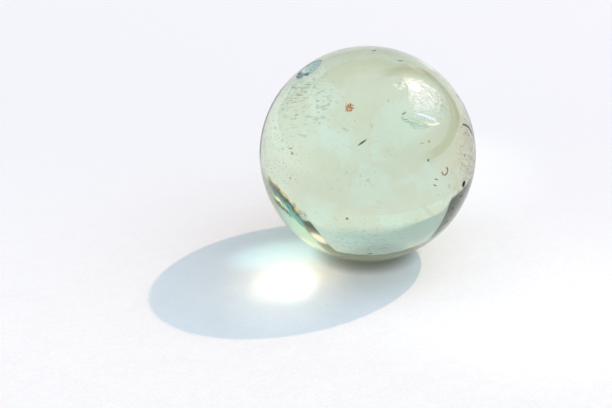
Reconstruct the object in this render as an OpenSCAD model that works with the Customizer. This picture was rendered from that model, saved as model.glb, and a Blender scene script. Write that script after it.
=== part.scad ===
// Glass marble: one solid ball of clear pale-green glass, chipped and
// scuffed by play.
// Lengths are in millimetres and angles in degrees. The origin is the
// ball's centre and +Z is up. A mark on the glass is placed by its turn
// about the upright axis, counted from +X towards +Y, and by its tilt down
// from the top of the ball. Its slant is the way that a long mark runs,
// counted from straight down the ball towards growing turn.

/* [Ball] */
// Diameter of the ball
ball_d = 16; // [12:0.5:25]

/* [Shell chip] */
// Width of the chip's round scar, rim to rim
chip_w = 2.2; // [1.6:0.1:3]
// Depth of the scar's floor below the plane of its rim
chip_depth = 0.28; // [0.22:0.02:0.5]
// Turn of the scar's middle
chip_turn = -179; // [-180:1:180]
// Tilt of the scar's middle
chip_tilt = 33; // [0:1:180]
// Rings that step down inside the scar, as on a shell
ring_count = 4; // [0:1:4]
// How much narrower each ring is than the one round it
ring_gap = 0.34; // [0.2:0.02:0.38]
// Step down from one ring to the next
ring_step = 0.03; // [0.02:0.01:0.06]
// How far the rings crowd towards the blow, where 1 would make them touch
ring_crowding = 0.6; // [0:0.1:0.7]
// Side of the rim that took the blow, counted as a slant
blow_side = 20; // [-180:5:180]

/* [Moon bruise] */
// Length of the flaked moon, tip to tip
moon_l = 3; // [2:0.1:4]
// Width of the moon at its middle
moon_w = 1.1; // [0.6:0.1:1.6]
// Depth of the moon below the line between its tips
moon_depth = 0.08; // [0.04:0.01:0.2]
// Turn of the moon's middle
moon_turn = -52; // [-180:1:180]
// Tilt of the moon's middle
moon_tilt = 52; // [0:1:180]
// Slant of the moon's long axis
moon_slant = 65; // [-90:5:90]

/* [Curved crack] */
// Length of the crack along its arc
crack_l = 2.1; // [1:0.1:3]
// Radius of the circle that the crack follows
crack_bend = 2.4; // [1.5:0.1:4]
// Width of the crack's open mouth
crack_w = 0.12; // [0.1:0.02:0.24]
// Depth of the crack
crack_depth = 0.07; // [0.06:0.01:0.12]
// Turn of the crack's middle
crack_turn = -13; // [-180:1:180]
// Tilt of the crack's middle
crack_tilt = 68; // [0:1:180]
// Slant of the crack
crack_slant = 46; // [-180:1:180]

/* [Hook mark] */
// Radius of the hook's bend
hook_bend = 0.28; // [0.2:0.02:0.5]
// How far round the hook runs
hook_sweep = 230; // [60:10:300]
// Width of the hook's groove
hook_w = 0.12; // [0.08:0.02:0.2]
// Depth of the hook's groove
hook_depth = 0.05; // [0.03:0.01:0.06]
// Turn of the hook's middle
hook_turn = -45; // [-180:1:180]
// Tilt of the hook's middle
hook_tilt = 83; // [0:1:180]
// Slant of the hook's back
hook_slant = 25; // [-180:5:180]

/* [Edge chips] */
// Width of the dark chip low on the right
edge_chip_w = 0.5; // [0.4:0.05:1]
// Depth of that chip
edge_chip_depth = 0.16; // [0.14:0.02:0.3]
// Turn of that chip
edge_chip_turn = -29; // [-180:1:180]
// Tilt of that chip
edge_chip_tilt = 94; // [0:1:180]

/* [Rust pit] */
// Width of the pit that holds the rust fleck
rust_pit_w = 0.66; // [0.4:0.02:1]
// Depth of the rust pit
rust_pit_depth = 0.1; // [0.06:0.01:0.2]
// Turn of the rust pit
rust_pit_turn = -104; // [-180:1:180]
// Tilt of the rust pit
rust_pit_tilt = 43.5; // [0:0.5:180]

/* [Front nick] */
// Length of the nick that faces forward
nick_l = 0.92; // [0.6:0.02:1.2]
// Width of the nick
nick_w = 0.16; // [0.1:0.02:0.3]
// Depth of the nick
nick_depth = 0.1; // [0.08:0.01:0.18]
// Turn of the nick
nick_turn = -93; // [-180:1:180]
// Tilt of the nick
nick_tilt = 61; // [0:1:180]
// Slant of the nick
nick_slant = 128; // [-180:1:180]

/* [Small wear] */
// Width of a small pit
pit_w = 0.22; // [0.2:0.02:0.4]
// Depth of a small pit
pit_depth = 0.05; // [0.04:0.01:0.1]
// Length of a small scuff
scuff_l = 0.5; // [0.3:0.02:0.8]
// Width of a small scuff
scuff_w = 0.1; // [0.08:0.02:0.2]
// Depth of a small scuff
scuff_depth = 0.04; // [0.03:0.01:0.08]

/* [Hidden] */
$fn = 96;
ball_r = ball_d / 2;

// Turn and tilt of each small pit
pit_places = [
    [-56, 73], [-53, 64], [-57, 30], [-100, 102], [-133, 86],
    [-144, 69], [-142, 73], [-134, 73], [-30, 101], [-36, 106],
];
// Turn, tilt and slant of each small scuff
scuff_places = [
    [-58, 64, 89], [-18, 17, 40], [48, 4, 5], [-136, 71, 117],
    [-52, 84, 65], [-53, 87, 60], [-87, 131, 90], [0, 54, 22],
    [-37, 115, 129],
];

// Height of the plane that meets the ball in a circle of this radius.
function plane_z(half_w) = sqrt(ball_r * ball_r - half_w * half_w);

// Radius of the circle on a chord of half length half_w that bulges by rise.
function chord_r(half_w, rise) =
    (half_w * half_w + rise * rise) / (2 * rise);

// Turns what is drawn over the top of the ball to a place on the glass.
module place(turn, tilt, slant = 0) {
    rotate([0, tilt, turn]) rotate([0, 0, slant]) children();
}

// Round scar with a hollow floor, at the top of the ball.
module bite(w, depth) {
    r = chord_r(w / 2, depth);
    translate([0, 0, plane_z(w / 2) - depth + r]) sphere(r);
}

// Round scar that steps down in rings, as a shell does, crowded towards the
// blow on its rim. Each ring is a smaller bite whose circle lies on the
// first bite's floor, leaning from its middle towards the blow.
module shell_bite(w, depth, side) {
    r = chord_r(w / 2, depth);
    translate([0, 0, plane_z(w / 2) - depth + r]) {
        sphere(r);
        for (i = [1:1:ring_count]) {
            ring_half_w = (w - i * ring_gap) / 2;
            sink = i * ring_step;
            rise = r - sqrt(r * r - ring_half_w * ring_half_w) + sink;
            ring_r = chord_r(ring_half_w, rise);
            lean = asin(ring_crowding * i * ring_gap / 2 / r);
            rotate([0, 180 - lean, side])
                translate([0, 0, r + sink - ring_r]) sphere(ring_r);
        }
    }
}

// Long nick with a sharp bottom and pointed ends: a lens stands on its
// edge, so its length lies along X.
module nick(l, w, depth) {
    edge_r = chord_r(l / 2, depth);
    edge_angle = atan(w / 2 / (ball_r - plane_z(l / 2) + depth));
    face_r = edge_r / sin(edge_angle);
    face_shift = edge_r / tan(edge_angle);
    translate([0, 0, plane_z(l / 2) - depth + edge_r]) intersection() {
        translate([0, face_shift, 0]) sphere(face_r);
        translate([0, -face_shift, 0]) sphere(face_r);
    }
}

// Round-bottomed groove along a circle that lies on the ball. The groove's
// middle is at the top of the ball, and bend is the circle's radius.
module groove(bend, sweep, w, depth) {
    cut_r = chord_r(w / 2, depth);
    lean = asin(bend / ball_r);
    ring_r = ball_r - depth + cut_r;
    rotate([0, lean, 0]) rotate([0, 0, 180 - sweep / 2])
        rotate_extrude(angle = sweep)
            translate([ring_r * sin(lean), ring_r * cos(lean)])
                circle(cut_r);
}

module shell_chip() {
    place(chip_turn, chip_tilt) shell_bite(chip_w, chip_depth, blow_side);
}

module moon_bruise() {
    place(moon_turn, moon_tilt, moon_slant) nick(moon_l, moon_w, moon_depth);
}

module curved_crack() {
    sweep = crack_l / crack_bend * 180 / PI;
    place(crack_turn, crack_tilt, crack_slant + 90)
        groove(crack_bend, sweep, crack_w, crack_depth);
}

module hook_mark() {
    place(hook_turn, hook_tilt, hook_slant)
        groove(hook_bend, hook_sweep, hook_w, hook_depth);
}

module edge_chip() {
    place(edge_chip_turn, edge_chip_tilt)
        bite(edge_chip_w, edge_chip_depth);
}

module rust_pit() {
    place(rust_pit_turn, rust_pit_tilt) bite(rust_pit_w, rust_pit_depth);
}

module front_nick() {
    place(nick_turn, nick_tilt, nick_slant) nick(nick_l, nick_w, nick_depth);
}

module small_wear() {
    for (p = pit_places) place(p[0], p[1]) bite(pit_w, pit_depth);
    for (s = scuff_places) place(s[0], s[1], s[2])
        nick(scuff_l, scuff_w, scuff_depth);
}

module marble() {
    color([0.80, 0.88, 0.78]) difference() {
        sphere(ball_r);
        shell_chip();
        moon_bruise();
        curved_crack();
        hook_mark();
        edge_chip();
        rust_pit();
        front_nick();
        small_wear();
    }
}

marble();
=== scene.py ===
# %% [markdown]
# # A worn glass marble
#
# The object is one solid ball of clear, faintly green glass, 16 mm across.
# It has been played with: a shell-shaped chip, a flaked moon, a curved
# crack, nicks, pits and fine scuffs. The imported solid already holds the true
# size and the larger wear. This lesson dresses it: a finer ball is modelled
# over the solid, its wear is sunk into it, and a clear glass finish with
# scuffs and stains is built from nodes.

# %% Load the frame and measure the solid
import math

import bpy
import numpy as np
from mathutils import Matrix, Vector


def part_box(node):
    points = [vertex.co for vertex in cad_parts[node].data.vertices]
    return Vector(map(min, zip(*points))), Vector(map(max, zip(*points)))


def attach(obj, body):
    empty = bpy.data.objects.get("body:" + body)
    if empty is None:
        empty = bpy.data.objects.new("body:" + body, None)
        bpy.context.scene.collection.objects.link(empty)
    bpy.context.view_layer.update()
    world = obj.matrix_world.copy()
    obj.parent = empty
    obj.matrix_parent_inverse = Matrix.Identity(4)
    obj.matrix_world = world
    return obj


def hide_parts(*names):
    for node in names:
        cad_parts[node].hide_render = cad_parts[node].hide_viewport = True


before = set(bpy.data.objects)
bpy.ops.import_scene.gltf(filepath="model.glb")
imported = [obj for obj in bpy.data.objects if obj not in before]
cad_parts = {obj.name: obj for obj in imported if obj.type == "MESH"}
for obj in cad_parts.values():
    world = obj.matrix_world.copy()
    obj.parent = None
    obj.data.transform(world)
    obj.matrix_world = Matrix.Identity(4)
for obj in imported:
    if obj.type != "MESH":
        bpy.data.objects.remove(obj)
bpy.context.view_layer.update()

low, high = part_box("marble")
MM = 0.001
BALL_R = max(high[i] - low[i] for i in range(3)) / 2
BALL_MM = BALL_R / MM
print("ball radius in mm:", round(BALL_MM, 3))

# %% [markdown]
# ## Camera
#
# The marble is seen from the front and above with a long lens, as a person
# at a table looks down at it. A long lens keeps the ball's outline round
# even when the ball isn't in the middle of the view. The camera is turned a
# little past the ball, so no lens shift is needed.

# %% Place the camera
VIEW_TILT = math.radians(23.3)
VIEW_DISTANCE = 126.2 * MM
AIM_DOWN = math.radians(25.0)
AIM_ASIDE = math.radians(2.25)

camera_data = bpy.data.cameras.new("camera")
camera_data.lens = 100
camera_data.sensor_width = 36
camera_data.clip_start = 0.005
camera_data.clip_end = 20
camera = bpy.data.objects.new("camera", camera_data)
bpy.context.scene.collection.objects.link(camera)
camera.location = (
    0,
    -VIEW_DISTANCE * math.cos(VIEW_TILT),
    VIEW_DISTANCE * math.sin(VIEW_TILT),
)
camera.rotation_euler = (math.pi / 2 - AIM_DOWN, 0, AIM_ASIDE)
bpy.context.scene.camera = camera
print("camera distance in mm:", round(VIEW_DISTANCE / MM, 1))

# %% [markdown]
# ## Where the wear lies
#
# Each mark is given by its turn about the upright axis, its tilt down from
# the top of the ball and the slant of its long side, in degrees. A small
# frame is built for each mark: its third axis points out of the glass and
# its first axis runs along the mark. Every point of the ball is then turned
# into that frame, so that one formula serves a mark wherever it lies.

# %% A frame for each mark
def unit(vectors):
    return vectors / np.linalg.norm(vectors, axis=1)[:, None]


def mark_frame(turn, tilt, slant=0):
    turned = Matrix.Rotation(math.radians(turn), 3, "Z")
    tilted = Matrix.Rotation(math.radians(tilt), 3, "Y")
    slanted = Matrix.Rotation(math.radians(slant), 3, "Z")
    return np.array(turned @ tilted @ slanted)


def in_frame(directions, axes):
    """Points on the ball in a mark's own frame, in millimetres."""
    return directions @ axes * BALL_MM


# %% [markdown]
# ## How deep the wear goes
#
# Glass breaks in hollow, shell-like scars. A bite is the hollow that a
# small sphere would leave, a nick is the cut of a lens stood on its edge,
# and a groove follows an arc. Each formula gives the drop of the surface in
# millimetres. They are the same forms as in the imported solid, with finer
# ripples and splinters on top, because a render shows what a solid may
# leave out.

# %% Forms of wear
def chord_radius(half_width, rise):
    return (half_width**2 + rise**2) / (2 * rise)


def plane_height(half_width):
    return math.sqrt(BALL_MM**2 - half_width**2)


def sphere_cut(p, centre, radius):
    """Drop left by a sphere that bites into the top of the ball."""
    x, y, z = (p - np.array(centre)).T
    inside = radius**2 - x**2 - y**2
    floor_z = centre[2] - np.sqrt(np.maximum(inside, 0))
    ball_z = np.sqrt(np.maximum(BALL_MM**2 - p[:, 0]**2 - p[:, 1]**2, 0))
    drop = ball_z - floor_z
    return np.where((inside > 0) & (p[:, 2] > 0), np.maximum(drop, 0), 0)


def bite(p, width, depth):
    radius = chord_radius(width / 2, depth)
    centre = (0, 0, plane_height(width / 2) - depth + radius)
    return sphere_cut(p, centre, radius)


def nick(p, length, width, depth):
    edge_radius = chord_radius(length / 2, depth)
    sag = BALL_MM - plane_height(length / 2)
    edge_angle = math.atan(width / 2 / (sag + depth))
    face_radius = edge_radius / math.sin(edge_angle)
    shift = edge_radius / math.tan(edge_angle)
    z = plane_height(length / 2) - depth + edge_radius
    sides = [sphere_cut(p, (0, s * shift, z), face_radius) for s in (-1, 1)]
    return np.minimum(*sides)


def groove(p, bend, sweep, width, depth):
    """Groove along an arc whose middle is at the mark's centre."""
    x, y, z = p.T
    around = np.degrees(np.arctan2(y, bend + x))
    past_end = np.maximum(np.abs(around) - sweep / 2, 0)
    off_end = np.radians(past_end) * bend
    off_line = np.hypot(np.hypot(bend + x, y) - bend, off_end)
    cut = chord_radius(width / 2, depth)
    inside = cut**2 - off_line**2
    drop = np.sqrt(np.maximum(inside, 0)) - (cut - depth)
    return np.where((inside > 0) & (z > 0), np.maximum(drop, 0), 0)


def soft_step(value, start, end):
    t = np.clip((value - start) / (end - start), 0, 1)
    return t * t * (3 - 2 * t)


# %% [markdown]
# ## The shell chip
#
# A blow near the edge has popped a round flake off the upper left. Its scar
# is hollow and steps down in rings crowded towards the blow, and fine
# splinter lines run out from the blow across the rings. The rings and lines
# catch the light, and they are what tells the eye that this is broken glass
# and not a dent.

# %% Shape of the shell chip
CHIP_PLACE = (-179, 33)
CHIP = dict(width=2.2, depth=0.28)
RINGS = dict(count=4, gap=0.34, step=0.03, crowding=0.6, side=20)


def shell_chip(p):
    width, depth = CHIP["width"], CHIP["depth"]
    radius = chord_radius(width / 2, depth)
    middle_z = plane_height(width / 2) - depth + radius
    drop = sphere_cut(p, (0, 0, middle_z), radius)
    side = math.radians(RINGS["side"])
    for i in range(1, RINGS["count"] + 1):
        half_width = (width - i * RINGS["gap"]) / 2
        sink = i * RINGS["step"]
        rise = radius - math.sqrt(radius**2 - half_width**2) + sink
        ring_radius = chord_radius(half_width, rise)
        lean = math.asin(RINGS["crowding"] * i * RINGS["gap"] / 2 / radius)
        reach = radius + sink - ring_radius
        centre = (
            reach * math.sin(lean) * math.cos(side),
            reach * math.sin(lean) * math.sin(side),
            middle_z - reach * math.cos(lean),
        )
        drop = np.maximum(drop, sphere_cut(p, centre, ring_radius))
    blow = np.array((math.cos(side), math.sin(side))) * width / 2
    from_blow = p[:, :2] - blow
    spread = np.arctan2(from_blow[:, 1], from_blow[:, 0])
    reach = np.hypot(from_blow[:, 0], from_blow[:, 1])
    splinters = 0.012 * np.sin(spread * 23) * np.sin(reach * 5 + spread * 3)
    ripples = 0.008 * np.sin(reach * 26)
    inside = soft_step(drop, 0.02, 0.12)
    return drop + inside * (splinters + ripples)


# %% [markdown]
# ## The moon bruise
#
# Where two marbles knock together they leave a moon: a flake the shape of a
# leaf that has half lifted. It is a shallow flat-sided flake here, with a
# deeper broken tip at one end and a row of tiny bites along the lower edge,
# where the flake has begun to crumble.

# %% Shape of the moon bruise
MOON_PLACE = (-52, 52, 65)
MOON = dict(length=3.0, width=1.1, depth=0.08)


def moon_bruise(p):
    drop = nick(p, **MOON)
    steps = 0.018 * np.sin(p[:, 1] * 21 + 2.5 * np.sin(p[:, 0] * 1.7))
    return drop + soft_step(drop, 0.02, 0.1) * steps


def moon_tip(p):
    """Short dark nick that rises to the right at the moon's left tip."""
    x, y, z = (p - np.array((-1.47, 0.14, 0))).T
    along, across = x * 0.72 + y * 0.69, y * 0.72 - x * 0.69
    return nick(np.column_stack((along, across, z)), 0.5, 0.16, 0.07)


def moon_crumbs(p):
    """Row of tiny bites under the moon's left half."""
    drop = np.zeros(len(p))
    for i in range(13):
        x = -1.62 + 0.165 * i
        y = -0.5 + 0.35 * max(-(x + 0.95), 0) ** 0.7 + 0.1 * max(x + 0.7, 0)
        for row in (0, 0.17, 0.33) if 2 < i < 11 else (0, 0.17):
            crumb = p - np.array((x + row / 2, y - row + 0.03 * (-1) ** i, 0))
            length = 0.23 + 0.04 * (i % 3) - row / 3
            drop = np.maximum(drop, nick(crumb, length, 0.14 - row / 8, 0.04))
    return drop


# %% [markdown]
# ## The curved crack
#
# Near the right edge a blow has opened a short crack that bends like a
# fingernail mark. It is the groove again, but a groove ends in a round stop
# and a crack dies away, so its depth fades out towards both ends.

# %% Shape of the curved crack
CRACK = dict(bend=2.4, sweep=50, width=0.12, depth=0.07)


def curved_crack(p):
    around = np.degrees(np.arctan2(p[:, 1], CRACK["bend"] + p[:, 0]))
    return groove(p, **CRACK) * soft_step(-np.abs(around), -27, -17)


# %% [markdown]
# ## What a mark is
#
# Each mark has a place, a form, how far it reaches and how fine the mesh has
# to be there, both in millimetres, and the stain that has settled in it. The
# stain is a colour that the clear glass is multiplied by, so white leaves
# the glass clean. It is full where the glass has sunk by the bare depth.
# Frost says how much of the scar is crushed white.

# %% Stains and the facts of a mark
CLEAN = (1, 1, 1)
SOOT = (0.02, 0.018, 0.015)
BLACK_DIRT = (0.0, 0.0, 0.0)
GREY_DIRT = (0.4, 0.42, 0.36)
TEAL_DIRT = (0.45, 0.65, 0.58)
BROWN_DIRT = (0.2, 0.09, 0.04)
RED_DIRT = (0.4, 0.16, 0.09)
RUST = (0.85, 0.7, 0.5)


def mark(place, form, reach, cell, stain=CLEAN, bare=0.01, frost=0.0):
    return dict(
        axes=mark_frame(*place),
        form=form,
        reach=reach,
        cell=cell,
        stain=stain,
        bare=bare,
        frost=frost,
    )


# %% [markdown]
# ## The large marks
#
# The chip, the moon and the rust pit are wanted again later, so they have
# names of their own. The others are the moon's dark tip and its crumbs, the
# curved crack, a red hook, a dark chip low on the right edge and a sooty
# nick that faces forward.

# %% List of the large marks
CHIP_MARK = mark(CHIP_PLACE, shell_chip, 1.3, 0.045, (0.9, 1.0, 0.98), 0.05, 0.8)
MOON_MARK = mark(MOON_PLACE, moon_bruise, 1.7, 0.045, (0.93, 1.0, 1.0), 0.03, 0.2)
RUST_PIT = mark((-104, 43.5), lambda p: bite(p, 0.66, 0.1), 0.42, 0.05, RUST, 0.1)

MARKS = [
    CHIP_MARK,
    MOON_MARK,
    mark(MOON_PLACE, moon_tip, 1.8, 0.03, (0.08, 0.12, 0.09), 0.03),
    mark(MOON_PLACE, moon_crumbs, 1.9, 0.035, (0.17, 0.42, 0.4), 0.015),
    mark((-13, 68, 136), curved_crack, 1.3, 0.03, (0.12, 0.1, 0.08), 0.05),
    mark((-45, 83, 25), lambda p: groove(p, 0.28, 230, 0.12, 0.05), 0.5, 0.035,
         RED_DIRT),
    mark((-29, 94), lambda p: bite(p, 0.5, 0.16), 0.35, 0.04,
         (0.05, 0.04, 0.03), 0.16),
    RUST_PIT,
    mark((-93, 61, 128), lambda p: nick(p, 0.92, 0.16, 0.1), 0.55, 0.03,
         SOOT, 0.03),
]
print("large marks:", len(MARKS))

# %% [markdown]
# ## Pits and small scuffs
#
# Small pits and scuffs are scattered where marbles have tapped each other.
# All pits share one size and all scuffs another, so a table of places and
# stains says the rest. The pits on the left are worn shallow.

# %% List of the small marks
PIT_SIZE = (0.22, 0.05)
SCUFF_SIZE = (0.5, 0.1, 0.04)
PITS = [
    (-56, 73, BROWN_DIRT), (-53, 64, GREY_DIRT), (-57, 30, CLEAN),
    (-100, 102, BROWN_DIRT), (-133, 86, GREY_DIRT), (-144, 69, TEAL_DIRT),
    (-142, 73, TEAL_DIRT), (-134, 73, BROWN_DIRT), (-30, 101, RED_DIRT),
    (-36, 106, RED_DIRT),
]
SCUFFS = [
    (-58, 64, 89, GREY_DIRT), (-18, 17, 40, SOOT), (48, 4, 5, GREY_DIRT),
    (-136, 71, 117, BROWN_DIRT), (-52, 84, 65, SOOT), (-53, 87, 60, SOOT),
    (-87, 131, 90, BLACK_DIRT), (0, 54, 22, GREY_DIRT), (-37, 115, 129, SOOT),
]
for turn, tilt, stain in PITS:
    kept = 0.4 if turn < -130 else 1.0
    MARKS.append(mark(
        (turn, tilt), lambda p, kept=kept: bite(p, *PIT_SIZE) * kept,
        0.2, 0.035, stain,
    ))
for *place, stain in SCUFFS:
    MARKS.append(mark(place, lambda p: nick(p, *SCUFF_SIZE), 0.3, 0.03, stain))
print("marks on the glass:", len(MARKS))

# %% [markdown]
# ## The unevenness of the ball
#
# A pressed and tumbled marble is never a perfect lens. Its surface swells
# and sinks by a few thousandths of a millimetre, which is nothing to the
# touch, but it makes what is seen through the ball waver. A few slow waves
# that cross each other give that.

# %% The whole drop of the surface
SWELL = 0.006
WAVES = [
    ((1.9, 0.6, -1.1), 0.3), ((-0.8, 2.3, 0.9), 1.7), ((0.7, -1.2, 2.6), 2.9),
    ((3.1, 2.2, 0.5), 4.1), ((-2.4, 1.5, -3.2), 5.2), ((1.2, -4.1, 2.4), 0.9),
]


def swell(directions):
    total = sum(
        np.sin(directions @ np.array(way) * 2 + phase) for way, phase in WAVES
    )
    return SWELL * (0.5 + total / (2 * len(WAVES)))


def near_mark(directions, scar, margin=1.0):
    """Which directions lie within a mark's reach."""
    reach = scar["reach"] * margin / BALL_MM
    return directions @ scar["axes"][:, 2] > math.cos(reach)


def surface_drop(directions):
    """Drop below the perfect ball in millimetres, for unit directions."""
    drop = np.zeros(len(directions))
    for scar in MARKS:
        near = near_mark(directions, scar, 1.4)
        p = in_frame(directions[near], scar["axes"])
        drop[near] = np.maximum(drop[near], scar["form"](p))
    return drop + swell(directions)


# %% [markdown]
# ## Model the ball
#
# The ball could start as a UV sphere, but that crowds its faces at two
# poles, and clear glass shows it. An icosphere has even triangles all over.
# A Cast modifier rounds its points onto the true sphere.

# %% Start from an icosphere
def only(piece):
    bpy.ops.object.select_all(action="DESELECT")
    piece.select_set(True)
    bpy.context.view_layer.objects.active = piece


bpy.ops.object.select_all(action="DESELECT")
bpy.ops.mesh.primitive_ico_sphere_add(subdivisions=7, radius=BALL_R)
ball = bpy.context.object
ball.name = "glass_ball"


def round_off():
    cast = ball.modifiers.new("round", "CAST")
    cast.cast_type = "SPHERE"
    cast.factor = 1
    cast.use_radius_as_size = False
    cast.size = BALL_R
    bpy.ops.object.modifier_apply(modifier=cast.name)


only(ball)
round_off()
print("triangles to start with:", len(ball.data.polygons))

# %% [markdown]
# ## A finer mesh round the marks
#
# A mark half a millimetre long needs small faces, but a ball that fine all
# over would spend its triangles on bare glass. So only the faces near a mark
# that are still too large for it are selected and subdivided, in a few
# rounds, and the new points are rounded off each time.

# %% Select and subdivide faces by their place
def face_directions(mesh):
    """Unit directions from the ball's centre to the middles of the faces."""
    centres = np.empty(len(mesh.polygons) * 3)
    mesh.polygons.foreach_get("center", centres)
    return unit(centres.reshape(-1, 3))


def edit_faces(piece, chosen):
    """Go into edit mode with only the chosen faces selected."""
    only(piece)
    bpy.ops.object.mode_set(mode="EDIT")
    bpy.ops.mesh.select_mode(type="FACE")
    bpy.ops.mesh.select_all(action="DESELECT")
    bpy.ops.object.mode_set(mode="OBJECT")
    piece.data.polygons.foreach_set("select", chosen)
    bpy.ops.object.mode_set(mode="EDIT")


def refine(rounds=3):
    for _ in range(rounds):
        areas = np.empty(len(ball.data.polygons))
        ball.data.polygons.foreach_get("area", areas)
        side = np.sqrt(areas * 4 / math.sqrt(3)) / MM
        directions = face_directions(ball.data)
        chosen = np.zeros(len(side), dtype=bool)
        for scar in MARKS:
            too_large = side > 1.4 * scar["cell"]
            chosen |= near_mark(directions, scar) & too_large
        edit_faces(ball, chosen)
        bpy.ops.mesh.subdivide(number_cuts=1, ngon=False)
        bpy.ops.mesh.select_all(action="SELECT")
        bpy.ops.mesh.quads_convert_to_tris()
        bpy.ops.object.mode_set(mode="OBJECT")
        round_off()


refine()
print("triangles after refining:", len(ball.data.polygons))

# %% [markdown]
# ## Sink the wear into the ball
#
# The drop at each point is painted as a weight, and a Displace modifier
# pushes the weighted points inwards along their normals, as a sculptor's
# brush would. Cutting the marks out with Booleans would leave ragged
# triangles round each of them.

# %% Paint the drop and displace
def ball_directions():
    points = np.empty(len(ball.data.vertices) * 3)
    ball.data.vertices.foreach_get("co", points)
    return unit(points.reshape(-1, 3))


directions = ball_directions()
drop = surface_drop(directions)
deepest = float(drop.max())
group = ball.vertex_groups.new(name="wear")
for index, weight in enumerate(drop / deepest):
    group.add([index], float(weight), "REPLACE")

push = ball.modifiers.new("sink", "DISPLACE")
push.direction = "NORMAL"
push.vertex_group = group.name
push.mid_level = 0
push.strength = -deepest * MM
only(ball)
bpy.ops.object.modifier_apply(modifier=push.name)
ball.vertex_groups.clear()
print("deepest wear in mm:", round(deepest, 3))

# %% [markdown]
# ## Smooth shading
#
# Clear glass bends what lies behind it, so it shows the smallest kink where
# the mesh changes from coarse to fine. The shading normals are worked out
# from the formula of the wear, by feeling for its slope a little to each
# side, and not from the faces.

# %% Shade the glass from the formula
FEEL = 0.012 / BALL_MM


def smooth_normals(directions):
    up = np.where(np.abs(directions[:, 2:]) < 0.9, (0, 0, 1), (1, 0, 0))
    along = unit(np.cross(up, directions))
    across = np.cross(directions, along)
    normals = directions
    for way in (along, across):
        ahead = surface_drop(unit(directions + FEEL * way))
        behind = surface_drop(unit(directions - FEEL * way))
        slope = (ahead - behind) / (2 * FEEL * BALL_MM)
        normals = normals + slope[:, None] * way
    return unit(normals)


bpy.ops.object.shade_smooth()
ball.data.normals_split_custom_set_from_vertices(smooth_normals(directions))
print("points with a normal of their own:", len(directions))

# %% [markdown]
# ## Stains in the wear
#
# Dirt settles where the glass is broken. It is kept as a colour on each
# point of the mesh, as if painted by hand: white where the glass is clean,
# and the mark's own stain where the surface has sunk. Alpha holds the frost.

# %% Paint the stains
stains = np.ones((len(directions), 4))
stains[:, 3] = 0
for scar in MARKS:
    near = near_mark(directions, scar)
    p = in_frame(directions[near], scar["axes"])
    amount = soft_step(scar["form"](p), 0, scar["bare"])[:, None]
    stains[near, :3] *= 1 + amount * (np.array(scar["stain"]) - 1)
    stains[near, 3] = np.maximum(stains[near, 3], amount[:, 0] * scar["frost"])
painted = ball.data.color_attributes.new("stain", "FLOAT_COLOR", "POINT")
painted.data.foreach_set("color", stains.ravel())
print("stained points:", int((stains[:, :3].min(axis=1) < 1).sum()))

# %% [markdown]
# ## Node helpers
#
# A finish is a tree of small nodes. Placing and linking them one at a time
# would hide what the finish does, so a few helpers each add one node, feed
# its inputs with numbers, colours or other nodes, and give back its output.

# %% Helpers that add one node
def new_node(tree, kind, **settings):
    node = tree.nodes.new(kind)
    for name, value in settings.items():
        setattr(node, name, value)
    return node


def feed(tree, value, socket):
    if isinstance(value, bpy.types.NodeSocket):
        tree.links.new(value, socket)
    elif isinstance(value, (tuple, list)) and len(socket.default_value) == 4:
        socket.default_value = (*value[:3], 1)
    else:
        socket.default_value = value


def maths(tree, operation, *values):
    node = new_node(tree, "ShaderNodeMath", operation=operation)
    for value, socket in zip(values, node.inputs):
        feed(tree, value, socket)
    return node.outputs[0]


def fade(tree, value, start, end, low=0.0, high=1.0):
    """Soft change from low to high as the value goes from start to end."""
    node = new_node(tree, "ShaderNodeMapRange", interpolation_type="SMOOTHSTEP")
    for value, name in (
        (value, "Value"), (start, "From Min"), (end, "From Max"),
        (low, "To Min"), (high, "To Max"),
    ):
        feed(tree, value, node.inputs[name])
    return node.outputs[0]


def blend_colours(tree, factor, first, second, blend_type="MIX"):
    node = new_node(
        tree, "ShaderNodeMix", data_type="RGBA", blend_type=blend_type
    )
    feed(tree, factor, node.inputs[0])
    feed(tree, first, node.inputs[6])
    feed(tree, second, node.inputs[7])
    return node.outputs[2]


def noise(tree, vector, scale, detail=2.0, roughness=0.5, distortion=0.0):
    node = new_node(tree, "ShaderNodeTexNoise")
    feed(tree, vector, node.inputs["Vector"])
    node.inputs["Scale"].default_value = scale
    node.inputs["Detail"].default_value = detail
    node.inputs["Roughness"].default_value = roughness
    node.inputs["Distortion"].default_value = distortion
    return node.outputs["Fac"]


# %% [markdown]
# ## Masks
#
# A mask is a number from nought to one that says where an effect shows.
# Masks are multiplied where both have to hold, and the strongest is taken
# where either will do. A tint multiplies a colour where its mask shows, as a
# thin wash of paint does.

# %% Helpers that combine masks and colours
def strongest(tree, *masks):
    result = masks[0]
    for mask in masks[1:]:
        result = maths(tree, "MAXIMUM", result, mask)
    return result


def product(tree, *values):
    result = values[0]
    for value in values[1:]:
        result = maths(tree, "MULTIPLY", result, value)
    return result


def between(tree, value, rise_from, rise_to, fall_from, fall_to):
    return product(
        tree, fade(tree, value, rise_from, rise_to),
        fade(tree, value, fall_to, fall_from),
    )


def tinted(tree, mask, colour, tint):
    return blend_colours(tree, mask, colour, tint, "MULTIPLY")


# %% [markdown]
# ## Starting a finish
#
# Every finish here starts with the same three things: a material with its
# Principled shader, the place of each point on the piece, and in the end a
# fine relief. Object coordinates are used, because a pattern on them stays
# where it is on the piece.

# %% Helpers that start a material and give it relief
RELIEF_STRENGTH = 0.4


def new_finish(name):
    material = bpy.data.materials.new(name)
    material.use_nodes = True
    tree = material.node_tree
    surface = new_node(tree, "ShaderNodeTexCoord").outputs["Object"]
    return material, tree, tree.nodes["Principled BSDF"], surface


def relief(tree, shader, height, depth):
    bump = new_node(tree, "ShaderNodeBump")
    feed(tree, height, bump.inputs["Height"])
    bump.inputs["Strength"].default_value = RELIEF_STRENGTH
    bump.inputs["Distance"].default_value = depth
    feed(tree, bump.outputs["Normal"], shader.inputs["Normal"])


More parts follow.
